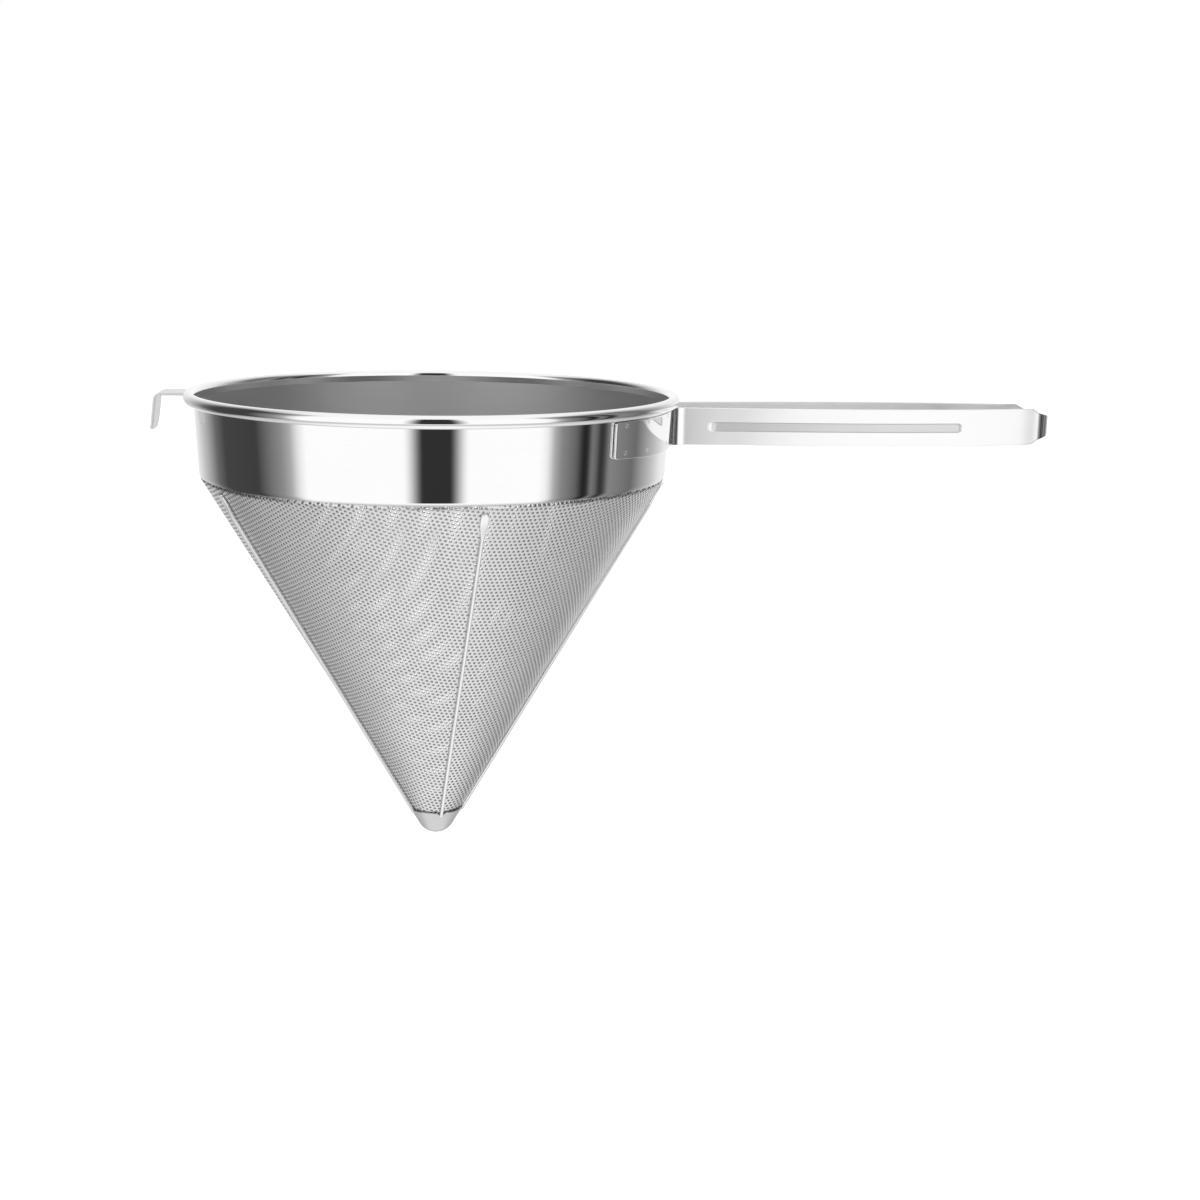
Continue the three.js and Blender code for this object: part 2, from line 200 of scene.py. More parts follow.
def build_steel_group():
    """Rolled or brushed steel: grain drawn along one way, smudges and fine dents."""
    group = bpy.data.node_groups.new("steel surface", "ShaderNodeTree")
    sockets(
        group, "INPUT", Vector=["Grain place"], Color=["Light steel", "Dark steel"],
        Float=["Least roughness", "Most roughness", "Grain depth"],
    )
    sockets(group, "OUTPUT", Color=["Colour"], Float=["Roughness"], Vector=["Normal"])
    nodes, links = group.nodes, group.links
    given, result = nodes.new("NodeGroupInput"), nodes.new("NodeGroupOutput")
    whole = nodes.new("ShaderNodeTexCoord")
    grain, smudge = nodes.new("ShaderNodeTexNoise"), nodes.new("ShaderNodeTexNoise")
    grain.inputs["Scale"].default_value = 1.0
    grain.inputs["Detail"].default_value = GRAIN_DETAIL
    links.new(given.outputs["Grain place"], grain.inputs["Vector"])
    smudge.inputs["Scale"].default_value = SMUDGE_SCALE
    smudge.inputs["Detail"].default_value = SMUDGE_DETAIL
    smudge.inputs["Roughness"].default_value = SMUDGE_ROUGHNESS
    links.new(whole.outputs["Object"], smudge.inputs["Vector"])
    smudges = math_node(group, "MULTIPLY", smudge.outputs["Fac"], SMUDGE_SHARE)
    both = math_node(group, "MULTIPLY_ADD", grain.outputs["Fac"], GRAIN_SHARE, smudges)
    spread = nodes.new("ShaderNodeMapRange")
    spread.inputs["From Min"].default_value = ROUGHNESS_FROM
    spread.inputs["From Max"].default_value = ROUGHNESS_TO
    links.new(both, spread.inputs["Value"])
    links.new(given.outputs["Least roughness"], spread.inputs["To Min"])
    links.new(given.outputs["Most roughness"], spread.inputs["To Max"])
    tint = nodes.new("ShaderNodeMix")
    tint.data_type = "RGBA"
    links.new(both, tint.inputs["Factor"])
    links.new(given.outputs["Light steel"], tint.inputs[6])
    links.new(given.outputs["Dark steel"], tint.inputs[7])
    bump = nodes.new("ShaderNodeBump")
    bump.inputs["Distance"].default_value = DENT_HEIGHT
    links.new(given.outputs["Grain depth"], bump.inputs["Strength"])
    links.new(grain.outputs["Fac"], bump.inputs["Height"])
    links.new(tint.outputs[2], result.inputs["Colour"])
    links.new(spread.outputs["Result"], result.inputs["Roughness"])
    links.new(bump.outputs["Normal"], result.inputs["Normal"])
    return group


steel_surface = build_steel_group()


def steel(name, stretch, greys, roughness, grain_depth, turned_about_bowl=False):
    """Steel material, its grain stretched by the given scales along X, Y and Z."""
    material, nodes, links, shader = new_material(name)
    place, mapping = nodes.new("ShaderNodeTexCoord"), nodes.new("ShaderNodeMapping")
    mapping.inputs["Scale"].default_value = stretch
    vector = place.outputs["Object"]
    if turned_about_bowl:
        centred = nodes.new("ShaderNodeMapping")
        centred.inputs["Location"].default_value = (-MILLIMETRE * BOWL_AXIS[0], 0, 0)
        links.new(vector, centred.inputs["Vector"])
        parts = nodes.new("ShaderNodeSeparateXYZ")
        links.new(centred.outputs["Vector"], parts.inputs["Vector"])
        about = nodes.new("ShaderNodeCombineXYZ")
        y, x = parts.outputs["Y"], parts.outputs["X"]
        links.new(math_node(material.node_tree, "ARCTAN2", y, x), about.inputs["X"])
        links.new(parts.outputs["Z"], about.inputs["Z"])
        vector = about.outputs["Vector"]
    links.new(vector, mapping.inputs["Vector"])
    surface = nodes.new("ShaderNodeGroup")
    surface.node_tree = steel_surface
    links.new(mapping.outputs["Vector"], surface.inputs["Grain place"])
    for key, value in (
        ("Light steel", grey(greys[0])), ("Dark steel", grey(greys[1])),
        ("Least roughness", roughness[0]), ("Most roughness", roughness[1]),
        ("Grain depth", grain_depth),
    ):
        surface.inputs[key].default_value = value
    for key, place in (("Colour", "Base Color"), ("Roughness",) * 2, ("Normal",) * 2):
        links.new(surface.outputs[key], shader.inputs[place])
    return material


polished = steel(
    "mirror polished steel", (2.0, 1.0, 900.0), turned_about_bowl=True, grain_depth=0.03,
    greys=(0.96, 0.90), roughness=(0.03, 0.06),
)
# Rougher steel for the inside of the band below the bead; its darker grey is painted shade inside
# the bowl.
satin_inside_painted_shade = steel(
    "satin band steel inside with painted shade", (2.0, 1.0, 900.0), turned_about_bowl=True, grain_depth=0.15,
    greys=(0.62, 0.56), roughness=(0.42, 0.52),
)
rim_band.data.materials.append(polished)
rim_band.data.materials.append(satin_inside_painted_shade)
bowl_centre = MILLIMETRE * Vector(BOWL_AXIS)
# Inward faces below the bead take the darker steel: painted shade.
for face in rim_band.data.polygons:
    centre = Vector(face.center) - bowl_centre
    faces_in = face.normal.xy.dot(centre.xy) < -0.5 * centre.xy.length
    if faces_in and centre.z < -MILLIMETRE * BEAD_RADIUS:
        face.material_index = 1


# Perforated cone: punched stainless sheet, round holes staggered at 60 degrees, rolled into a
# cone and joined along one seam behind a back rib. Its plain top edge stands inside the band.
CONE_HALF_ANGLE = math.radians(30.2)
SHEET_THICKNESS = 0.8
CONE_TOP = (
    bend_centre[0] + LIP_RADIUS * math.cos(CONE_HALF_ANGLE),
    bend_centre[1] - LIP_RADIUS * math.sin(CONE_HALF_ANGLE),
)
CONE_FOOT_RADIUS = 9.15
HOLE_PITCH = 2.455
HOLE_DIAMETER = 1.48
HOLE_SIDES = 8
ROW_ANGLE = math.radians(-12.2)
COLLAR_TOP_Z = -30.0
COLLAR_STEP = 1.2
JOGGLE_START = math.radians(22.5)
SEAM_AZIMUTH = 64.5
SEAM_MARGIN = 4.5
PERFORATED_FROM = 25.0
HOLES_PAST_BEND = 3.4
FLAT_HALF_WIDTH = 255.0
MERGED_WITHIN = 0.02
LEAST_FACE = 0.002
SEAM_SLACK = 0.2
sin_cone, cos_cone = math.sin(CONE_HALF_ANGLE), math.cos(CONE_HALF_ANGLE)
slant_top = CONE_TOP[0] / sin_cone
slant_foot = CONE_FOOT_RADIUS / sin_cone
bend_length = LIP_RADIUS * (CONE_HALF_ANGLE - BAND_TAPER)
collar_length = (COLLAR_TOP_Z - BAND_FOOT_Z) / math.cos(BAND_TAPER)
slant_end = slant_top + bend_length + collar_length


def on_sheet(slant, lift):
    """Radius and height of the rolled sheet at a slant distance from the cone's point."""
    past = slant - slant_top
    angle = np.clip(CONE_HALF_ANGLE - past / LIP_RADIUS, BAND_TAPER, CONE_HALF_ANGLE)
    step = np.clip((JOGGLE_START - angle) / (JOGGLE_START - LIP_END), 0.0, 1.0)
    reach = LIP_RADIUS + lift - COLLAR_STEP * step * step * (3 - 2 * step)
    straight = np.where(past < 0, past, np.maximum(past - bend_length, 0.0))
    way = np.where(past < 0, CONE_HALF_ANGLE, BAND_TAPER)
    radius = bend_centre[0] + reach * np.cos(angle) + straight * np.sin(way)
    height = bend_centre[1] - reach * np.sin(angle) + straight * np.cos(way)
    return radius, height


def flat_cell(name, holed):
    """One six-sided cell of the flat sheet, with its round hole or plain."""
    corner = HOLE_PITCH / math.sqrt(3)
    outer = [(corner * math.cos(a), corner * math.sin(a)) for a in
             (math.pi / 6 + math.pi / 3 * k for k in range(6))]
    bm = bmesh.new()
    rim = [bm.verts.new((x, y, 0)) for x, y in outer]
    if holed:
        half = HOLE_DIAMETER / 2
        turns = [math.pi / HOLE_SIDES * (2 * k + 1) for k in range(HOLE_SIDES)]
        hole = [bm.verts.new((half * math.cos(a), half * math.sin(a), 0)) for a in turns]
        edges = [bm.edges.new((ring[k], ring[(k + 1) % len(ring)])) for ring in (rim, hole)
                 for k in range(len(ring))]
        bmesh.ops.triangle_fill(bm, edges=edges, use_beauty=True, use_dissolve=False)
    else:
        middle = bm.verts.new((0, 0, 0))
        for k in range(6):
            bm.faces.new((middle, rim[k], rim[(k + 1) % 6]))
    mesh = bpy.data.meshes.new(name)
    bm.to_mesh(mesh)
    bm.free()
    return bpy.data.objects.new(name, mesh)


def build_perforation_tree():
    """Flat perforated sheet: staggered cells over one sector, plain ones along its edges."""
    tree = bpy.data.node_groups.new("perforated sheet", "GeometryNodeTree")
    ids = sockets(
        tree, "INPUT", Object=["Hole cell", "Plain cell"], Material=["Steel"],
        Float=["Pitch", "Row angle", "Half width", "Sheet start", "Sheet end", "Holes start",
               "Holes end", "From angle", "To angle", "Seam angle", "Seam margin"],
    )
    sockets(tree, "OUTPUT", Geometry=["Sheet"])
    nodes, links = tree.nodes, tree.links
    given, result = nodes.new("NodeGroupInput"), nodes.new("NodeGroupOutput")

    def calc(operation, *inputs):
        return math_node(tree, operation, *inputs)

    def even_count(step):
        """Even number of steps that comes closest to the sheet's width."""
        pairs = calc("ROUND", calc("DIVIDE", width, calc("MULTIPLY", step, 2.0)))
        return calc("MULTIPLY", pairs, 2.0)

    pitch = given.outputs["Pitch"]
    row_height = calc("MULTIPLY", pitch, math.sqrt(3) / 2)
    width = calc("MULTIPLY", given.outputs["Half width"], 2.0)
    columns, rows = even_count(pitch), even_count(row_height)
    grid = nodes.new("GeometryNodeMeshGrid")
    links.new(calc("MULTIPLY", columns, pitch), grid.inputs["Size X"])
    links.new(calc("MULTIPLY", rows, row_height), grid.inputs["Size Y"])
    links.new(calc("ADD", columns, 1.0), grid.inputs["Vertices X"])
    links.new(calc("ADD", rows, 1.0), grid.inputs["Vertices Y"])
    place = nodes.new("GeometryNodeInputPosition")
    parts = nodes.new("ShaderNodeSeparateXYZ")
    links.new(place.outputs[0], parts.inputs[0])
    row = calc("ROUND", calc("DIVIDE", parts.outputs["Y"], row_height))
    odd = calc("FLOORED_MODULO", row, 2.0)
    stagger = nodes.new("ShaderNodeCombineXYZ")
    links.new(calc("MULTIPLY", odd, calc("MULTIPLY", pitch, 0.5)), stagger.inputs["X"])
    shift = nodes.new("GeometryNodeSetPosition")
    links.new(grid.outputs["Mesh"], shift.inputs["Geometry"])
    links.new(stagger.outputs[0], shift.inputs["Offset"])
    turn = nodes.new("GeometryNodeTransform")
    spin = nodes.new("ShaderNodeCombineXYZ")
    links.new(given.outputs["Row angle"], spin.inputs["Z"])
    links.new(shift.outputs["Geometry"], turn.inputs["Geometry"])
    links.new(spin.outputs[0], turn.inputs["Rotation"])
    points = nodes.new("GeometryNodeMeshToPoints")
    links.new(turn.outputs["Geometry"], points.inputs["Mesh"])

    here = nodes.new("GeometryNodeInputPosition")
    xyz = nodes.new("ShaderNodeSeparateXYZ")
    links.new(here.outputs[0], xyz.inputs[0])
    length = nodes.new("ShaderNodeVectorMath")
    length.operation = "LENGTH"
    links.new(here.outputs[0], length.inputs[0])
    slant = length.outputs["Value"]
    angle = calc("ARCTAN2", xyz.outputs["X"], xyz.outputs["Y"])
    first = calc("SUBTRACT", given.outputs["Sheet start"], pitch)
    last = calc("ADD", given.outputs["Sheet end"], pitch)
    outside = calc("ADD", calc("LESS_THAN", slant, first), calc("GREATER_THAN", slant, last))
    beside = calc("ADD", calc("LESS_THAN", angle, given.outputs["From angle"]),
                  calc("GREATER_THAN", angle, given.outputs["To angle"]))
    drop = nodes.new("GeometryNodeDeleteGeometry")
    drop.domain = "POINT"
    links.new(points.outputs["Points"], drop.inputs["Geometry"])
    links.new(calc("GREATER_THAN", calc("ADD", outside, beside), 0.5), drop.inputs["Selection"])

    from_seam = calc("ABSOLUTE", calc("SUBTRACT", angle, given.outputs["Seam angle"]))
    at_seam = calc("LESS_THAN", calc("MULTIPLY", slant, from_seam), given.outputs["Seam margin"])
    at_edge = calc("ADD", calc("LESS_THAN", slant, given.outputs["Holes start"]),
                   calc("GREATER_THAN", slant, given.outputs["Holes end"]))
    plain = calc("GREATER_THAN", calc("ADD", at_edge, at_seam), 0.5)
    joined = nodes.new("GeometryNodeJoinGeometry")
    for key, chosen in (("Hole cell", calc("SUBTRACT", 1.0, plain)), ("Plain cell", plain)):
        cell = nodes.new("GeometryNodeObjectInfo")
        links.new(given.outputs[key], cell.inputs["Object"])
        spread = nodes.new("GeometryNodeInstanceOnPoints")
        links.new(drop.outputs["Geometry"], spread.inputs["Points"])
        links.new(chosen, spread.inputs["Selection"])
        links.new(cell.outputs["Geometry"], spread.inputs["Instance"])
        links.new(spin.outputs[0], spread.inputs["Rotation"])
        links.new(spread.outputs["Instances"], joined.inputs[0])
    real = nodes.new("GeometryNodeRealizeInstances")
    links.new(joined.outputs[0], real.inputs[0])
    merge = nodes.new("GeometryNodeMergeByDistance")
    merge.inputs["Distance"].default_value = MERGED_WITHIN
    links.new(real.outputs[0], merge.inputs["Geometry"])
    finish = nodes.new("GeometryNodeSetMaterial")
    links.new(merge.outputs["Geometry"], finish.inputs["Geometry"])
    links.new(given.outputs["Steel"], finish.inputs["Material"])
    links.new(finish.outputs["Geometry"], result.inputs["Sheet"])
    return tree, ids


def flat_panel(tree, ids, values):
    """Run the tree once and give the flat sheet's points and three-sided faces."""
    mesh = bpy.data.meshes.new("flat sheet")
    carrier = bpy.data.objects.new("flat sheet", mesh)
    bpy.context.collection.objects.link(carrier)
    modifier = carrier.modifiers.new("perforation", "NODES")
    modifier.node_group = tree
    for name, value in values.items():
        modifier[ids[name]] = value
    depsgraph = bpy.context.evaluated_depsgraph_get()
    flat = bpy.data.meshes.new_from_object(carrier.evaluated_get(depsgraph))
    carrier.modifiers.remove(modifier)
    bpy.data.objects.remove(carrier)
    points = np.empty(len(flat.vertices) * 3)
    flat.vertices.foreach_get("co", points)
    flat.calc_loop_triangles()
    corners = np.empty(len(flat.loop_triangles) * 3, dtype=np.int32)
    flat.loop_triangles.foreach_get("vertices", corners)
    bpy.data.meshes.remove(flat)
    return points.reshape(-1, 3), corners.reshape(-1, 3)


def rolled_panel(name, points, corners, angle_limits):
    """Trim the flat sheet to its edges, give it its thickness and roll it on the cone."""
    slant = np.hypot(points[:, 0], points[:, 1]).clip(slant_foot, slant_end)
    angle = np.arctan2(points[:, 0], points[:, 1]).clip(*angle_limits)
    flat = np.stack([slant * np.sin(angle), slant * np.cos(angle)], axis=1)
    a, b, c = (flat[corners[:, k]] for k in range(3))
    area = (b[:, 0] - a[:, 0]) * (c[:, 1] - a[:, 1]) - (b[:, 1] - a[:, 1]) * (c[:, 0] - a[:, 0])
    at_edge = (slant <= slant_foot) | (slant >= slant_end)
    kept = (np.abs(area) > LEAST_FACE) & ~at_edge[corners].all(axis=1)
    corners = np.where((area > 0)[:, None], corners, corners[:, ::-1])[kept]
    edges = np.concatenate([corners[:, [0, 1]], corners[:, [1, 2]], corners[:, [2, 0]]])
    count = len(points)
    codes = edges[:, 0].astype(np.int64) * count + edges[:, 1]
    back = edges[:, 1].astype(np.int64) * count + edges[:, 0]
    border = edges[~np.isin(codes, back)]
    azimuth = angle / sin_cone - math.pi / 2
    sides = []
    for lift in (0.0, -SHEET_THICKNESS):
        radius, height = on_sheet(slant, lift)
        face = (radius * np.cos(azimuth), radius * np.sin(azimuth), height)
        sides.append(np.stack(face, axis=1))
    used = np.unique(corners)
    place = np.full(count, -1)
    place[used] = np.arange(len(used))
    corners, border = place[corners], place[border]
    vertices = np.concatenate([sides[0][used], sides[1][used]])
    under = len(used)
    start, end = border[:, 0], border[:, 1]
    walls = np.stack([end, start, start + under, end + under], axis=1)
    mesh = bpy.data.meshes.new(name)
    vertices = (vertices + np.array(BOWL_AXIS)) * MILLIMETRE
    triangles = np.concatenate([corners, corners[:, ::-1] + under])
    loops = np.concatenate([triangles.ravel(), walls.ravel()]).astype(np.int32)
    ends_at = len(triangles) * 3
    starts = np.concatenate([np.arange(len(triangles)) * 3, ends_at + np.arange(len(walls)) * 4])
    mesh.vertices.add(len(vertices))
    mesh.vertices.foreach_set("co", vertices.ravel())
    mesh.loops.add(len(loops))
    mesh.loops.foreach_set("vertex_index", loops)
    mesh.polygons.add(len(starts))
    mesh.polygons.foreach_set("loop_start", starts.astype(np.int32))
    smooth = np.arange(len(starts)) < len(triangles)
    mesh.polygons.foreach_set("use_smooth", smooth)
    # The inner face and the hole walls take the second material, the darker copy that paints
    # shade inside the cone.
    inside = np.ones(len(starts), dtype=np.int32)
    inside[:len(corners)] = 0
    mesh.polygons.foreach_set("material_index", inside)
    mesh.update(calc_edges=True)
    loop_edges = np.empty(len(loops), dtype=np.int32)
    mesh.loops.foreach_get("edge_index", loop_edges)
    sharp = np.zeros(len(mesh.edges), dtype=bool)
    sharp[loop_edges[triangles.size:]] = True
    marks = mesh.attributes.new("sharp_edge", "BOOLEAN", "EDGE")
    marks.data.foreach_set("value", sharp)
    piece = bpy.data.objects.new(name, mesh)
    bpy.context.collection.objects.link(piece)
    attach(piece, "root")
    return piece


punched = steel(
    "punched sheet steel", (260.0, 260.0, 30.0), grain_depth=0.12,
    greys=(0.83, 0.75), roughness=(0.22, 0.32),
)
# Darker copy of the punched steel for the inner face and the hole walls: painted shade inside the
# cone.
punched_inside_painted_shade = steel(
    "punched sheet steel inside with painted shade", (260.0, 260.0, 30.0), grain_depth=0.2,
    greys=(0.50, 0.42), roughness=(0.35, 0.45),
)
hole_cell, plain_cell = flat_cell("hole cell", True), flat_cell("plain cell", False)
perforation, perforation_ids = build_perforation_tree()
seam_angle = math.radians(SEAM_AZIMUTH + 90) * sin_cone
sector = 2 * math.pi * sin_cone
for number, panel in enumerate(("back", "left", "front", "right")):
    from_angle = seam_angle - sector + number * sector / 4
    to_angle = from_angle + sector / 4
    first, last = number == 0, number == 3
    values = {
        "Hole cell": hole_cell, "Plain cell": plain_cell, "Steel": punched, "Pitch": HOLE_PITCH,
        "Row angle": ROW_ANGLE, "Half width": FLAT_HALF_WIDTH, "Sheet start": slant_foot,
        "Sheet end": slant_end, "Holes start": PERFORATED_FROM,
        "Holes end": slant_top + HOLES_PAST_BEND, "Seam margin": SEAM_MARGIN,
        "From angle": from_angle - (SEAM_SLACK if first else 0),
        "To angle": to_angle + (SEAM_SLACK if last else 0),
        "Seam angle": seam_angle if number > 1 else seam_angle - sector,
    }
    flat = flat_panel(perforation, perforation_ids, values)
    limits = (from_angle if first else -math.inf, to_angle if last else math.inf)
    sheet = rolled_panel(f"cone_sheet_{panel}", *flat, limits)
    sheet.data.materials.append(punched)
    sheet.data.materials.append(punched_inside_painted_shade)
    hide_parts("perforated_cone")
for cell in (hole_cell, plain_cell):
    bpy.data.objects.remove(cell)


def on_cone(along, lift):
    """Point of the cone's slope, by the distance down from its top and the lift off it."""
    return (
        CONE_TOP[0] - along * sin_cone + lift * cos_cone,
        CONE_TOP[1] - along * cos_cone - lift * sin_cone,
    )


# Ribs: five straight wires welded down the outside of the cone. The top end of each is
# hammered flat into a small blade, and the foot runs under the edge of the tip cap.
RIB_DIAMETER = 2.0
RIB_FIRST_AZIMUTH = -79.5
RIB_SPACING = 72.0
RIB_START = 1.6
RIB_END = 211.4
RIB_LIFT = 0.15
RIB_END_BLUNT, RIB_END_SHARE = 0.3, 0.75
BLADE_WIDTH = 4.1
BLADE_THICKNESS = 1.25
BLADE_WIDE_TO = 6.1
BLADE_NECK = 17.1
BLADE_CORNER = 1.6
BLADE_EDGE_SHARE = 0.7
RIB_SIDES = 24


def eased(value):
    value = min(max(value, 0.0), 1.0)
    return value * value * (3 - 2 * value)


def corner_inset(radius, from_end):
    """How far a rounded corner draws the edge in, at a distance from the end."""
    short = max(radius - from_end, 0.0)
    return radius - math.sqrt(max(radius ** 2 - short ** 2, 0.0))


def rib(azimuth):
    """One wire from its blade to its foot, square in section at the blade and round below."""
    near = [RIB_START + BLADE_CORNER * (1 - math.cos(math.pi / 2 * k / 8)) for k in range(9)]
    stations = near + list(np.linspace(near[-1] + 0.3, BLADE_NECK, 20))
    stations += list(np.linspace(BLADE_NECK + 6, RIB_END - 0.8, 26))
    stations += [RIB_END - RIB_END_BLUNT, RIB_END]
    vertices, faces = [], []
    angle = math.radians(azimuth)
    for along in stations:
        share = eased((along - BLADE_WIDE_TO) / (BLADE_NECK - BLADE_WIDE_TO))
        half = (1 - share) * BLADE_WIDTH / 2 + share * RIB_DIAMETER / 2
        high = (1 - share) * BLADE_THICKNESS / 2 + share * RIB_DIAMETER / 2
        centre = RIB_LIFT + high
        half -= corner_inset(BLADE_CORNER, along - RIB_START)
        if along < near[2]:
            from_edge = (along - RIB_START) / (near[2] - RIB_START)
            high *= BLADE_EDGE_SHARE + (1 - BLADE_EDGE_SHARE) * from_edge
        if along == RIB_END:
            half, high = half * RIB_END_SHARE, high * RIB_END_SHARE
        power = 2 / (5 - 3 * share)
        for k in range(RIB_SIDES):
            turn = 2 * math.pi * k / RIB_SIDES
            c, s = math.cos(turn), math.sin(turn)
            side = half * math.copysign(abs(c) ** power, c)
            lift = centre + high * math.copysign(abs(s) ** power, s)
            r, z = on_cone(along, lift)
            vertices.append((
                r * math.cos(angle) - side * math.sin(angle),
                r * math.sin(angle) + side * math.cos(angle),
                z,
            ))
    rows = len(stations)
    for i in range(rows - 1):
        for k in range(RIB_SIDES):
            after = (k + 1) % RIB_SIDES
            here, there = i * RIB_SIDES, (i + 1) * RIB_SIDES
            faces.append((here + k, here + after, there + after, there + k))
    faces.append(list(range(RIB_SIDES)))
    faces.append([(rows - 1) * RIB_SIDES + k for k in range(RIB_SIDES)])
    return vertices, faces


drawn = steel(
    "drawn wire steel", (500.0, 500.0, 60.0), grain_depth=0.1,
    greys=(0.97, 0.92), roughness=(0.14, 0.22),
)
for number, side in enumerate(("front", "right", "back_right", "back_left", "left")):
    azimuth = RIB_FIRST_AZIMUTH + RIB_SPACING * number
    wire = as_piece(f"rib_{side}_wire", *rib(azimuth), "wire_steel")
    wire.data.materials.append(drawn)
    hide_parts(f"rib_{side}")


# Tip cap: a smooth cup pressed over the open end of the cone. Its edge dips and its wall
# swells a little over the foot of each rib.
CAP_THICKNESS = 0.8
CAP_GAP = 0.3
CAP_NOSE_RADIUS = 10.62
CAP_TOP_ALONG = 209.6
CAP_EDGE_DIP, CAP_DIP_LENGTH = 2.0, 3.0
CAP_EDGE_OUT, CAP_EDGE_ROUND = 0.12, 0.2
CAP_SWELL, CAP_SWELL_BELOW, CAP_SWELL_LENGTH = 0.45, 3.0, 8.0
CAP_RIB_WIDTH = 1.5
CAP_NOSE_DISC = 0.02
CAP_TURN_STEPS = 192
apex_z = CONE_TOP[1] - CONE_TOP[0] * cos_cone / sin_cone
nose_z = apex_z + (CAP_NOSE_RADIUS - CAP_THICKNESS - CAP_GAP) / sin_cone


def over_rib(azimuth, radius):
    """1 over a rib and 0 away from it, by the distance round the cap."""
    turn = math.radians(RIB_SPACING)
    off = (azimuth - math.radians(RIB_FIRST_AZIMUTH) + turn / 2) % turn - turn / 2
    return math.exp(-(off * radius / CAP_RIB_WIDTH) ** 2)


def cap_shape(radius, z, azimuth):
    """Where a point of the plain profile comes to lie, with the dips and the swelling."""
    depth = eased((z - nose_z + CAP_SWELL_BELOW) / CAP_SWELL_LENGTH)
    swell = CAP_SWELL * over_rib(azimuth, radius) * depth
    near_edge = eased((z - on_cone(CAP_TOP_ALONG, 0)[1] + CAP_DIP_LENGTH) / CAP_DIP_LENGTH)
    dip = CAP_EDGE_DIP * over_rib(azimuth, radius) * near_edge
    return radius + swell * cos_cone - dip * sin_cone, z - dip * cos_cone


def cap_wall(lift):
    """One face of the wall in profile, down the slope from the edge and round to the nose."""
    top = on_cone(CAP_TOP_ALONG, lift)
    radius = CAP_NOSE_RADIUS - CAP_THICKNESS - CAP_GAP + lift
    tangent = (radius * cos_cone, nose_z - radius * sin_cone)
    straight = [tuple(a + (b - a) * k / 6 for a, b in zip(top, tangent)) for k in range(6)]
    return straight + arc((0, nose_z), radius, CONE_HALF_ANGLE, math.pi / 2 - CAP_NOSE_DISC, 16)


cap_edge = [
    on_cone(CAP_TOP_ALONG - CAP_EDGE_OUT, lift)
    for lift in (CAP_GAP + CAP_THICKNESS - CAP_EDGE_ROUND, CAP_GAP + CAP_EDGE_ROUND)
]
cap_profile = cap_wall(CAP_THICKNESS + CAP_GAP)[::-1] + cap_edge + cap_wall(CAP_GAP)
cap_points, cap_faces = [], []
count = len(cap_profile)
for i in range(CAP_TURN_STEPS):
    azimuth = 2 * math.pi * i / CAP_TURN_STEPS
    for r, z in cap_profile:
        r, z = cap_shape(r, z, azimuth)
        cap_points.append((r * math.cos(azimuth), r * math.sin(azimuth), z))
    here, there = i * count, (i + 1) % CAP_TURN_STEPS * count
    cap_faces += [(here + k, there + k, there + k + 1, here + k + 1) for k in range(count - 1)]
for end in (0, count - 1):
    cap_faces.append([i * count + end for i in range(CAP_TURN_STEPS)])
tip_cap = as_piece("tip_cap_pressed", cap_points, cap_faces, "satin_steel")
pressed = steel(
    "pressed satin steel", (3.0, 1.0, 700.0), turned_about_bowl=True, grain_depth=0.15,
    greys=(0.70, 0.62), roughness=(0.2, 0.3),
)
tip_cap.data.materials.append(pressed)
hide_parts("tip_cap")


# Handle: one strip on edge, bent round into a hairpin, with a long groove pressed into each
# side and both ends turned out along the band and spot welded to it. Buffed steel.
HANDLE_THICKNESS = 1.6
HANDLE_TOP_Z = -3.7
HANDLE_HEIGHT = 19.25
HANDLE_EDGE_ROUND = 0.3
FLANGE_END = math.radians(46.7)
FLANGE_TURN = math.radians(10.6)
FLANGE_GAP = 0.3
FLANGE_END_STEPS = (0, 0.0006, 0.0016, 0.003, 0.005, 0.0075, 0.0105, 0.014, 0.018)
FILLET_RADIUS, FILLET_STOP = 6.8, math.radians(86)
LEAN_FROM, LEAN_FULL = math.radians(7.7), math.radians(13.0)
FLANGE_CORNER = 2.0
FLANGE_RISE, FLANGE_RISE_LENGTH = 1.6, 40.0
END_BEND_X, END_BEND_RADIUS, END_BEND_START = 316.3, 11.5, math.radians(16)
CHAMFER_FROM, CHAMFER_LENGTH, CHAMFER_DEPTH, END_NARROWING = 316.0, 4.3, 2.6, 4.6
GROOVE_FROM, GROOVE_TO, GROOVE_HEIGHT, GROOVE_DEPTH = 142.3, 275.3, 4.5, 0.75
GROOVE_RUN_OUT = 1.1
GROOVE_WALL_OUT, GROOVE_WALL = 0.2, 0.5
GROOVE_LEAST = 0.02
SIDE_STEPS = (0.8, 1.8, 1.95, 2.08, 2.2, 2.32, 2.42, 2.6, 3.2)
SIDE_MARGIN = 0.6
END_ROUND = 0.6
PLATE_POINTS = ((150, -18.5), (190, -21.2), (230, -22.2), (270, -20.3), (290, -17.8),
                (307, -14.5))
PLATE_FROM, PLATE_TO = 0.2605, 0.4500
SATIN_BEFORE, SATIN_AFTER = 0.002, 0.003
SATIN_ROUGHNESS, SATIN_AT_END = 0.15, 0.1
WELDS = ((43.1, -5.6), (43.1, -18.6), (33.6, -5.0), (33.6, -19.3), (20.0, -5.3), (20.0, -19.0))
WELD_RADIUS, WELD_ROUND, WELD_FLATNESS = 0.95, 0.24, 0.7
flange_radius = BAND_TOP_RADIUS + FLANGE_GAP + HANDLE_THICKNESS / 2


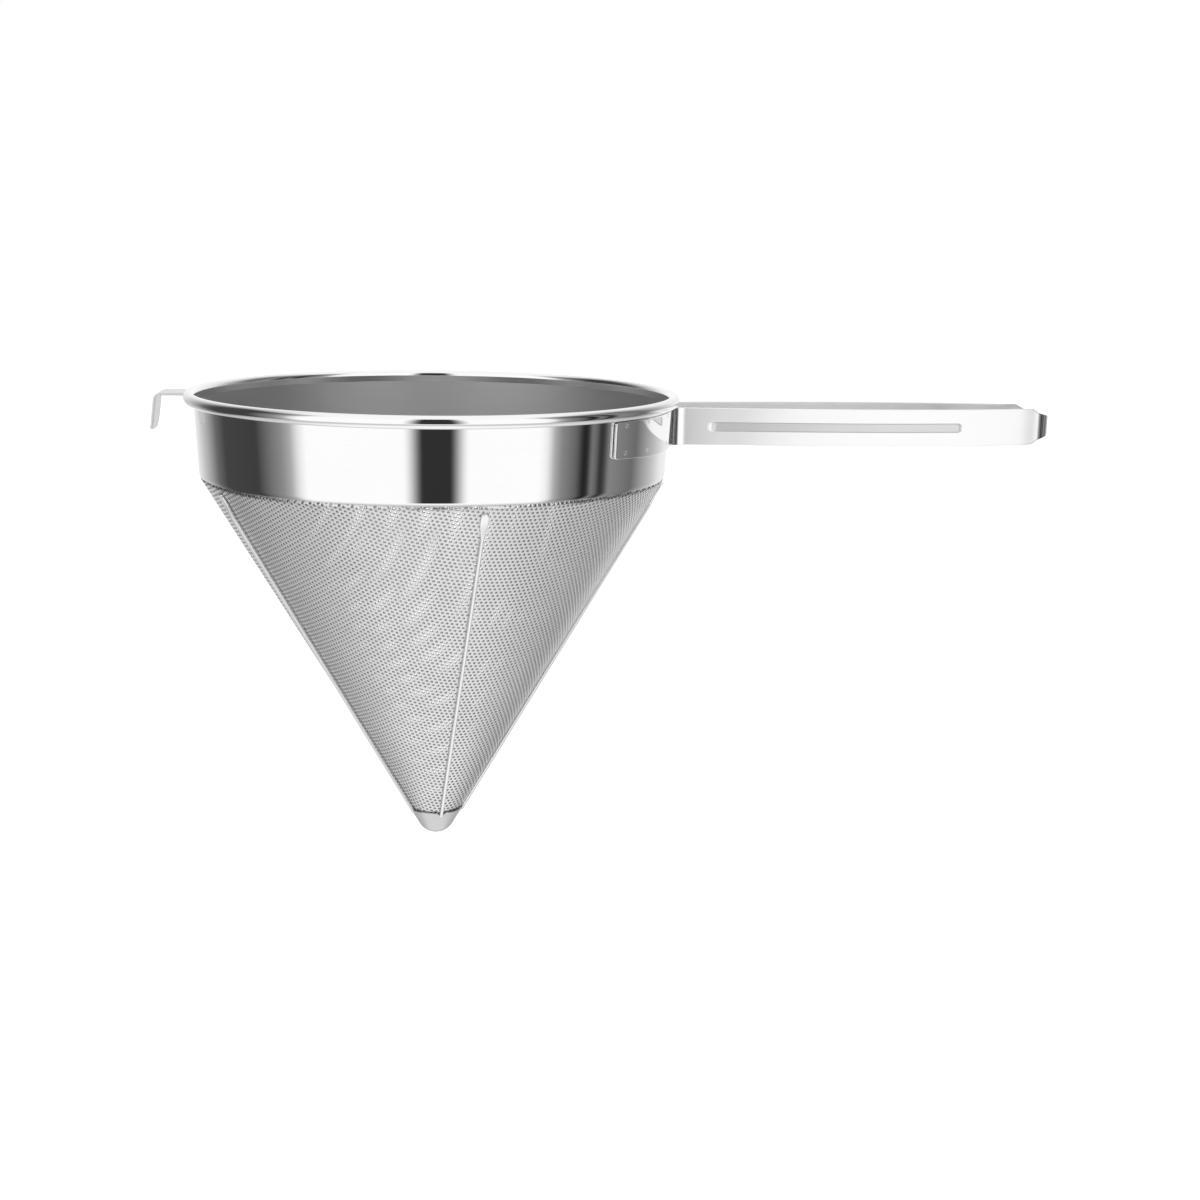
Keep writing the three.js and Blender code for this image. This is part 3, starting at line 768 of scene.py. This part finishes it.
def smooth_through(points, steps):
    """Curve that runs smoothly through the points, evenly divided between each two."""
    points = np.asarray(points, dtype=float)
    padded = np.concatenate([[2 * points[0] - points[1]], points, [2 * points[-1] - points[-2]]])
    curve = [points[0]]
    for i in range(1, len(points)):
        p0, p1, p2, p3 = padded[i - 1:i + 3]
        for t in np.arange(1, steps + 1) / steps:
            curve.append(0.5 * (2 * p1 + (p2 - p0) * t + (2 * p0 - 5 * p1 + 4 * p2 - p3) * t * t
                                + (3 * p1 - p0 - 3 * p2 + p3) * t ** 3))
    return curve


def round_point(centre, radius, angle):
    return centre[0] + radius * math.cos(angle), centre[1] + radius * math.sin(angle)


def handle_line():
    """Middle line of the strip in plan, from the end of the near flange to the far one."""
    near = [FLANGE_END - s for s in FLANGE_END_STEPS]
    angles = near + list(np.linspace(near[-1], FLANGE_TURN, 60)[1:])
    half = [(flange_radius * math.cos(a), -flange_radius * math.sin(a)) for a in angles]
    reach = flange_radius + FILLET_RADIUS
    centre = (reach * math.cos(FLANGE_TURN), -reach * math.sin(FLANGE_TURN))
    for a in np.linspace(math.pi - FLANGE_TURN, FILLET_STOP, 17)[1:]:
        half.append(round_point(centre, FILLET_RADIUS, a))
    end_centre, start = (END_BEND_X, 0), END_BEND_START - math.pi / 2
    bend = round_point(end_centre, END_BEND_RADIUS, start)
    plate = smooth_through([half[-1], *PLATE_POINTS, bend], 18)
    for a, b in zip(plate, plate[1:]):
        parts = 4 if abs(a[0] - GROOVE_TO) < 4 else 1
        half += [tuple(a + (b - a) * k / parts) for k in range(1, parts + 1)]
    for a in np.linspace(start, 0, 25)[1:]:
        half.append(round_point(end_centre, END_BEND_RADIUS, a))
    return half + [(x, -y) for x, y in half[-2::-1]]


def groove_depth(x, z):
    """How far the strip's faces are pushed in, for a slot with round ends."""
    middle = HANDLE_TOP_Z - HANDLE_HEIGHT / 2
    half = GROOVE_HEIGHT / 2
    nearest = min(max(x, GROOVE_FROM + half), GROOVE_TO - half)
    distance = math.hypot(x - nearest, z - middle)
    run_out = eased(min(x - GROOVE_FROM, GROOVE_TO - x) / GROOVE_RUN_OUT)
    return GROOVE_DEPTH * eased((half + GROOVE_WALL_OUT - distance) / GROOVE_WALL) * run_out


def strip_section(low, high, thickness, rounding, middle):
    """Section of the strip: heights and sideways places, round at both edges."""
    half = thickness / 2
    inner = [middle - s for s in SIDE_STEPS[::-1]] + [middle] + [middle + s for s in SIDE_STEPS]
    heights = [low + rounding + SIDE_MARGIN] + inner + [high - rounding - SIDE_MARGIN]
    bends = [(rounding * (1 - math.sin(a)), half - rounding * (1 - math.cos(a)))
             for a in np.linspace(0, math.pi / 2, 5)]
    outer = [(low + inset, side) for inset, side in bends[::-1]]
    outer += [(z, half) for z in heights] + [(high - inset, side) for inset, side in bends]
    return outer + [(z, -s) for z, s in outer[::-1]]


def strip_mesh(line, section_at, point_at):
    """Loft of one section per point of the line, closed at both ends."""
    vertices, faces = [], []
    count = 0
    for i, point in enumerate(line):
        before, after = np.array(line[max(i - 1, 0)]), np.array(line[min(i + 1, len(line) - 1)])
        along = after - before
        along /= np.linalg.norm(along)
        outward = np.array([along[1], -along[0]])
        section = section_at(i, point)
        count = len(section)
        vertices += [point_at(point, outward, z, side) for z, side in section]
    for i in range(len(line) - 1):
        here, there = i * count, (i + 1) * count
        for k in range(count):
            after = (k + 1) % count
            faces.append((here + k, here + after, there + after, there + k))
    half = count // 2
    for end in (0, (len(line) - 1) * count):
        for k in range(half - 1):
            faces.append((end + k, end + k + 1, end + count - 2 - k, end + count - 1 - k))
    return vertices, faces


def travelled(line):
    """Distance along the line at each of its points."""
    return np.concatenate([[0], np.cumsum([math.dist(a, b) for a, b in zip(line, line[1:])])])


plan = handle_line()
travel = travelled(plan)


def handle_section(i, point):
    """Section at one point of the plan: round corners at the ends, chamfers at the end bend."""
    high, low = HANDLE_TOP_Z, HANDLE_TOP_Z - HANDLE_HEIGHT
    from_end = min(travel[i], travel[-1] - travel[i])
    inset = corner_inset(FLANGE_CORNER, from_end)
    past = point[0] - CHAMFER_FROM
    if past > 0:
        bend_past = END_BEND_X + END_BEND_RADIUS - CHAMFER_FROM - CHAMFER_LENGTH
        rest = max((past - CHAMFER_LENGTH) / bend_past, 0.0)
        inset += CHAMFER_DEPTH * min(past / CHAMFER_LENGTH, 1.0)
        inset += (END_NARROWING - CHAMFER_DEPTH) * rest
    thickness = HANDLE_THICKNESS - 2 * corner_inset(END_ROUND, from_end)
    rise = FLANGE_RISE * eased(1 - from_end / FLANGE_RISE_LENGTH)
    rounding = min(HANDLE_EDGE_ROUND, thickness / 2 - 0.02)
    middle = HANDLE_TOP_Z - HANDLE_HEIGHT / 2
    return strip_section(low + inset + rise, high - inset, thickness, rounding, middle)


def handle_point(point, outward, z, side):
    """Point of the strip's face, pushed in at the groove and leaning with the band's taper."""
    inward = groove_depth(point[0], z)
    x = point[0] + outward[0] * (side - inward)
    y = point[1] + outward[1] * (side - inward)
    angle = math.atan2(abs(y), x)
    weight = eased((angle - LEAN_FROM) / (LEAN_FULL - LEAN_FROM))
    pull = math.tan(BAND_TAPER) * weight * (HANDLE_TOP_Z - z) / math.hypot(x, y)
    return x * (1 - pull), y * (1 - pull), z


def duller_from_root(material):
    """Mirror polish at the band and round the end bend, satin on the side plates."""
    tree = material.node_tree
    rough = tree.nodes["Principled BSDF"].inputs["Roughness"]
    fine = rough.links[0].from_socket
    x = object_xyz(tree)["X"]
    satin = smooth_ramp(
        tree, x, PLATE_FROM - SATIN_BEFORE, PLATE_FROM + SATIN_AFTER, high=SATIN_ROUGHNESS
    )
    until = smooth_ramp(
        tree, x, PLATE_TO - SATIN_BEFORE, PLATE_TO + SATIN_AFTER, 1.0, SATIN_AT_END
    )
    tree.links.new(math_node(tree, "MULTIPLY_ADD", satin, until, fine), rough)


handle = as_piece("handle_strip", *strip_mesh(plan, handle_section, handle_point), "handle_steel")
buffed = steel(
    "buffed strip steel", (12.0, 12.0, 500.0), grain_depth=0.06,
    greys=(0.96, 0.93), roughness=(0.05, 0.08),
)
# Rougher steel for the grooves; its darker grey is painted shade in the recess.
groove_steel_painted_shade = steel(
    "groove steel with painted shade", (12.0, 12.0, 500.0), grain_depth=0.1,
    greys=(0.76, 0.70), roughness=(0.3, 0.36),
)
duller_from_root(buffed)
handle.data.materials.append(buffed)
handle.data.materials.append(groove_steel_painted_shade)
# Faces inside the groove take the darker steel: painted shade.
for face in handle.data.polygons:
    x, _, z = (Vector(face.center) - bowl_centre) / MILLIMETRE
    if groove_depth(x, z) > GROOVE_LEAST * GROOVE_DEPTH:
        face.material_index = 1
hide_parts("handle")


def weld_rings():
    """The faint raised ring that each spot weld leaves on the outside of the flanges."""
    vertices, faces = [], []
    around, over = 28, 8
    lean = math.tan(BAND_TAPER)
    for side in (-1, 1):
        for azimuth, z in WELDS:
            a = side * math.radians(azimuth)
            out = Vector((math.cos(a), math.sin(a), 0))
            reach = flange_radius + HANDLE_THICKNESS / 2 - lean * (HANDLE_TOP_Z - z)
            middle = out * reach + Vector((0, 0, z))
            along = Vector((-math.sin(a), math.cos(a), 0))
            up = (out * lean + Vector((0, 0, 1))).normalized()
            normal = along.cross(up)
            first = len(vertices)
            for k in range(around):
                turn = 2 * math.pi * k / around
                away = along * math.cos(turn) + up * math.sin(turn)
                for m in range(over):
                    bulge = 2 * math.pi * m / over
                    point = middle + away * (WELD_RADIUS + WELD_ROUND * math.cos(bulge))
                    height = WELD_ROUND * WELD_FLATNESS * math.sin(bulge)
                    vertices.append(tuple(point + normal * height))
            for k in range(around):
                here, there = first + k * over, first + (k + 1) % around * over
                faces += [(here + m, there + m, there + (m + 1) % over, here + (m + 1) % over)
                          for m in range(over)]
    return vertices, faces


rings = as_piece("handle_weld_rings", *weld_rings(), "handle_steel")
rings.data.materials.append(buffed)
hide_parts("handle")


# Pot hook: a short strip welded flat against the rim opposite the handle and bent down, so
# that the strainer hangs on the far edge of a pot. The lower end is cut with round corners.
HOOK_WIDTH = 23.0
HOOK_THICKNESS = 1.4
HOOK_TOP_Z = 1.7
HOOK_START = 126.1
HOOK_FLAT_END = 137.6
HOOK_BEND_RADIUS = 2.3
HOOK_TAB_BOTTOM = -17.0
HOOK_TAB_LEAN = 1.9
HOOK_NEAR_CORNER = 2.5
HOOK_FAR_CORNER = 8.0
HOOK_EDGE_ROUND, HOOK_END_BLUNT = 0.25, 0.4


def hook_line():
    """Middle line of the hook's strip, seen from the side: distance out and height."""
    middle_z = HOOK_TOP_Z - HOOK_THICKNESS / 2
    reach = HOOK_BEND_RADIUS + HOOK_THICKNESS / 2
    line = [(x, middle_z) for x in np.linspace(HOOK_START, HOOK_FLAT_END, 12)]
    drop = HOOK_TAB_BOTTOM - (middle_z - reach)
    lean = math.atan2(HOOK_TAB_LEAN, -drop)
    for a in np.linspace(0, math.pi / 2 - lean, 13)[1:]:
        line.append((HOOK_FLAT_END + reach * math.sin(a), middle_z - reach + reach * math.cos(a)))
    last = line[-1]
    length = (last[1] - HOOK_TAB_BOTTOM) / math.cos(lean)
    for s in [1 - math.cos(math.pi / 2 * k / 24) for k in range(24, -1, -1)][1:]:
        down = length * (1 - s)
        line.append((last[0] + down * math.sin(lean), last[1] - down * math.cos(lean)))
    return line


hook_path = hook_line()
hook_travel = travelled(hook_path)


def hook_section(i, point):
    """Section at one point of the path, its two edges drawn in by the tab's round corners."""
    from_end = hook_travel[-1] - hook_travel[i]
    low = -HOOK_WIDTH / 2 + corner_inset(HOOK_NEAR_CORNER, from_end)
    high = HOOK_WIDTH / 2 - corner_inset(HOOK_FAR_CORNER, from_end)
    thickness = HOOK_THICKNESS - (HOOK_END_BLUNT if from_end == 0 else 0.0)
    return strip_section(low, high, thickness, HOOK_EDGE_ROUND, (low + high) / 2)


def hook_point(point, outward, across, side):
    return -(point[0] + outward[0] * side), across, point[1] + outward[1] * side


hook_mesh = strip_mesh(hook_path, hook_section, hook_point)
pot_hook = as_piece("pot_hook_strip", *hook_mesh, "handle_steel")
satin_hook = steel(
    "satin hook steel", (20.0, 300.0, 20.0), grain_depth=0.15,
    greys=(0.80, 0.75), roughness=(0.3, 0.4),
)
pot_hook.data.materials.append(satin_hook)
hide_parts("pot_hook")


# Studio: camera at the photograph's place, a plain pale floor, and a pale room with dark
# parts beside the object and a dark flag in front of it, which the polished steel mirrors.
camera_data = bpy.data.cameras.new("camera")
camera_data.sensor_width = 36.0
camera_data.lens = 51.83
camera = bpy.data.objects.new("camera", camera_data)
bpy.context.collection.objects.link(camera)
bpy.context.scene.camera = camera
CAMERA_PLACE = Vector((0.12111, -0.90096, 0.08721))
CAMERA_YAW, CAMERA_PITCH, CAMERA_ROLL = map(math.radians, (6.291, 12.225, 0.962))
ahead = Vector((
    math.sin(CAMERA_YAW) * math.cos(CAMERA_PITCH),
    math.cos(CAMERA_YAW) * math.cos(CAMERA_PITCH),
    -math.sin(CAMERA_PITCH),
))
level = Vector((math.cos(CAMERA_YAW), -math.sin(CAMERA_YAW), 0))
upright = level.cross(ahead)
right = level * math.cos(CAMERA_ROLL) + upright * math.sin(CAMERA_ROLL)
top = upright * math.cos(CAMERA_ROLL) - level * math.sin(CAMERA_ROLL)
camera.matrix_world = Matrix(
    [(right[i], top[i], -ahead[i], CAMERA_PLACE[i]) for i in range(3)] + [(0, 0, 0, 1)]
)


def flat_plane(name, corners):
    """Flat piece of the studio, from its four corners."""
    mesh = bpy.data.meshes.new(name)
    mesh.from_pydata(corners, [], [(0, 1, 2, 3)])
    plane = bpy.data.objects.new(name, mesh)
    bpy.context.collection.objects.link(plane)
    return plane


def seen_directly(tree):
    """1 for rays from the camera, straight or through something clear, and 0 for others."""
    rays = tree.nodes.new("ShaderNodeLightPath").outputs
    return math_node(tree, "MAXIMUM", rays["Is Camera Ray"], rays["Is Transmission Ray"])


FLOOR_Z = -0.62
FLOOR_HALF = 12.0
FLOOR_GLOW = 0.6
square = ((-FLOOR_HALF, -FLOOR_HALF), (FLOOR_HALF, -FLOOR_HALF),
          (FLOOR_HALF, FLOOR_HALF), (-FLOOR_HALF, FLOOR_HALF))
floor = flat_plane("floor", [(x, y, FLOOR_Z) for x, y in square])
floor_paint, nodes, links, shader = new_material("floor paint", metallic=0.0)
shader.inputs["Base Color"].default_value = grey(0.86)
shader.inputs["Roughness"].default_value = 0.8
tree = floor_paint.node_tree
glow, added = nodes.new("ShaderNodeEmission"), nodes.new("ShaderNodeAddShader")
links.new(math_node(tree, "MULTIPLY", seen_directly(tree), FLOOR_GLOW), glow.inputs["Strength"])
links.new(shader.outputs["BSDF"], added.inputs[0])
links.new(glow.outputs["Emission"], added.inputs[1])
links.new(added.outputs["Shader"], nodes["Material Output"].inputs["Surface"])
floor.data.materials.append(floor_paint)
floor.visible_glossy = False

# Brightness round the room: degrees from straight ahead of the bowl, to the right, and level
ROOM = (
    (-180, 1.0), (-165, 0.9), (-152, 0.7), (-138, 0.42), (-127, 0.15), (-118, 0.06), (-93, 0.05),
    (-87, 0.13), (-77, 0.27), (-72, 0.42), (-67, 0.85), (-63, 1.05), (50, 1.05), (54, 0.9),
    (58, 0.42), (62, 0.25), (70, 0.13), (74, 0.02), (77, 0.02), (80, 0.19), (83, 0.12),
    (85, 0.03), (88, 0.05), (92, 0.24), (110, 0.15), (128, 0.5), (145, 0.85), (180, 1.0),
)
LOWER_ROOM = ((-90, 1.0), (-66, 1.0), (-54, 0.74), (-43, 0.6), (-30, 0.5))
LOWER_BLEND, UPPER_BLEND = (-38.0, -22.0), (38.0, 62.0)
UPPER_LEVEL, BACKDROP_LEVEL = 1.0, 1.0
FLAG_DISTANCE = 0.82
FLAG_HALF, FLAG_BOTTOM, FLAG_TOP = 0.3, -0.3, 1.2
FLAG_DARK, FLAG_CLEAR = 0.08, 0.215
FLAG_LEVEL = 0.03
bowl_x = MILLIMETRE * BOWL_AXIS[0]
sides = ((-FLAG_HALF, FLAG_BOTTOM), (FLAG_HALF, FLAG_BOTTOM),
         (FLAG_HALF, FLAG_TOP), (-FLAG_HALF, FLAG_TOP))
flag = flat_plane("flag", [(bowl_x + x, -FLAG_DISTANCE, z) for x, z in sides])
for sight in ("visible_camera", "visible_diffuse", "visible_shadow", "visible_transmission"):
    setattr(flag, sight, False)
flag_cloth, nodes, links, _ = new_material("flag cloth", metallic=0.0)
tree = flag_cloth.node_tree
off = math_node(tree, "ABSOLUTE", math_node(tree, "SUBTRACT", object_xyz(tree)["X"], bowl_x))
clear, dark = nodes.new("ShaderNodeBsdfTransparent"), nodes.new("ShaderNodeEmission")
dark.inputs["Strength"].default_value = FLAG_LEVEL
blend = nodes.new("ShaderNodeMixShader")
links.new(smooth_ramp(tree, off, FLAG_DARK, FLAG_CLEAR), blend.inputs["Fac"])
links.new(dark.outputs["Emission"], blend.inputs[1])
links.new(clear.outputs["BSDF"], blend.inputs[2])
links.new(blend.outputs["Shader"], nodes["Material Output"].inputs["Surface"])
flag.data.materials.append(flag_cloth)

world = bpy.data.worlds.new("room")
bpy.context.scene.world = world
world.use_nodes = True
tree = world.node_tree


def level_curve(value, points):
    """Level at an angle, by straight steps between the given points."""
    curve = tree.nodes.new("ShaderNodeFloatCurve")
    low, high = float(points[0][0]), float(points[-1][0])
    most = max(level for _, level in points)
    line = curve.mapping.curves[0]
    while len(line.points) < len(points):
        line.points.new(0.5, 0.5)
    for spot, (angle, level) in zip(line.points, points):
        spot.location = ((angle - low) / (high - low), level / most)
        spot.handle_type = "VECTOR"
    curve.mapping.update()
    share = math_node(tree, "DIVIDE", math_node(tree, "SUBTRACT", value, low), high - low)
    tree.links.new(share, curve.inputs["Value"])
    return math_node(tree, "MULTIPLY", curve.outputs["Value"], most)


def mixed(share, first, second):
    node = tree.nodes.new("ShaderNodeMix")
    for place, value in ((0, share), (2, first), (3, second)):
        link_or_set(tree, node.inputs[place], value)
    return node.outputs[0]


direction, parts = tree.nodes.new("ShaderNodeTexCoord"), tree.nodes.new("ShaderNodeSeparateXYZ")
tree.links.new(direction.outputs["Generated"], parts.inputs[0])
x, y, z = (parts.outputs[name] for name in "XYZ")
around = math_node(
    tree, "DEGREES", math_node(tree, "ARCTAN2", x, math_node(tree, "MULTIPLY", y, -1.0))
)
height = math_node(tree, "DEGREES", math_node(tree, "ARCSINE", z))
lowered = math_node(tree, "MINIMUM", height, float(LOWER_ROOM[-1][0]))
lowered = math_node(tree, "MAXIMUM", lowered, float(LOWER_ROOM[0][0]))
below, walls = level_curve(lowered, LOWER_ROOM), level_curve(around, ROOM)
room = mixed(smooth_ramp(tree, height, *LOWER_BLEND), below, walls)
room = mixed(smooth_ramp(tree, height, *UPPER_BLEND), room, UPPER_LEVEL)
background = tree.nodes["Background"]
tree.links.new(mixed(seen_directly(tree), room, BACKDROP_LEVEL), background.inputs["Strength"])
background.inputs["Color"].default_value = (1, 1, 1, 1)

bpy.context.scene.view_settings.view_transform = "Standard"
